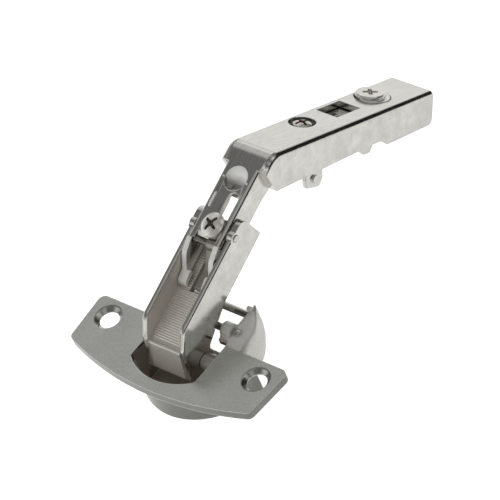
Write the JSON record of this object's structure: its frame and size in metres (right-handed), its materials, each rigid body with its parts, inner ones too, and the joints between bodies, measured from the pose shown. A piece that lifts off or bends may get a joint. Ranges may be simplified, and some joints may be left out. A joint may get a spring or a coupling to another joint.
{
  "type": "concealed cup hinge",
  "caption": "Concealed cup hinge with a crank arm: a screw-on cup, a double link and an adjustable clip-on arm, shown fully open.",
  "frame": {"origin": "axis of the cup at the face of the door", "axes": "+X along the hinge axis, +Y towards the edge of the door, +Z out of the door"},
  "size_m": [0.0602, 0.1085, 0.0404],
  "materials": {
    "nickel_plated_steel": "satin nickel plate",
    "nickel_plated_zinc": "nickel-plated zinc casting, satin",
    "dark_steel": "nickel plate, unpolished",
    "spring_steel": "drawn spring wire"
  },
  "bodies": {
    "cup_body": {"cup": "nickel_plated_zinc", "outer_pivot_pin": "nickel_plated_steel", "inner_pivot_pin": "nickel_plated_steel", "spring_pin": "nickel_plated_steel", "closing_spring": "spring_steel", "pivot_bushes": "dark_steel"},
    "outer_link_body": {"outer_link": "nickel_plated_steel"},
    "inner_link_body": {"inner_link": "dark_steel"},
    "arm_body": {"arm": "nickel_plated_steel", "link_rivets": "nickel_plated_steel", "inner_link_pin": "nickel_plated_steel", "front_screw_plate": "dark_steel"},
    "front_screw_body": {"front_screw": "nickel_plated_steel"},
    "carriage_body": {"clip_carriage": "nickel_plated_steel", "side_screw_plate": "dark_steel", "latch_pin": "nickel_plated_steel", "latch_spring": "spring_steel"},
    "side_screw_body": {"side_screw": "nickel_plated_steel"},
    "cam_body": {"depth_cam": "nickel_plated_steel", "cam_washer": "dark_steel"},
    "latch_body": {"latch_lever": "dark_steel"}
  },
  "joints": [
    {"name": "link_fold", "type": "hinge", "parent": "cup_body", "child": "outer_link_body", "pos_m": [0, -0.0055, -0.0001], "axis": [1, 0, 0], "range_deg": [-12, 0]},
    {"name": "arm_fold", "type": "hinge", "parent": "outer_link_body", "child": "arm_body", "pos_m": [0, 0.0167, 0.0208], "axis": [1, 0, 0], "range_deg": [-48, 0]},
    {"name": "inner_link_fold", "type": "hinge", "parent": "cup_body", "child": "inner_link_body", "pos_m": [0, 0.0028, 0.0033], "axis": [1, 0, 0], "range_deg": [-8, 0]},
    {"name": "front_screw_turn", "type": "hinge", "parent": "arm_body", "child": "front_screw_body", "pos_m": [0.0003, 0.01733, 0.02116], "axis": [0, -0.3476, 0.9376], "range_deg": [-180, 180]},
    {"name": "depth_slide", "type": "slide", "parent": "arm_body", "child": "carriage_body", "axis": [0, 0.8741, -0.4857], "range_m": [-0.00103, 0.00103]},
    {"name": "cam_turn", "type": "hinge", "parent": "carriage_body", "child": "cam_body", "pos_m": [-0.0019, 0.07654, 0.00789], "axis": [0, 0.4857, 0.8741], "range_deg": [-60, 60]},
    {"name": "side_screw_turn", "type": "hinge", "parent": "carriage_body", "child": "side_screw_body", "pos_m": [-0.0022, 0.05442, 0.02017], "axis": [0, 0.4857, 0.8741], "range_deg": [-180, 180]},
    {"name": "latch_turn", "type": "hinge", "parent": "carriage_body", "child": "latch_body", "pos_m": [0, 0.07729, 0.0006], "axis": [1, 0, 0], "range_deg": [0, 8], "stiffness_Nm_per_rad": 0.02}
  ],
  "couplings": [
    {"joint": "link_fold", "follows": "arm_fold", "ratio": 0.25},
    {"joint": "inner_link_fold", "follows": "arm_fold", "ratio": 0.1666},
    {"joint": "cam_turn", "follows": "depth_slide", "rad_per_m": -1007.6}
  ]
}
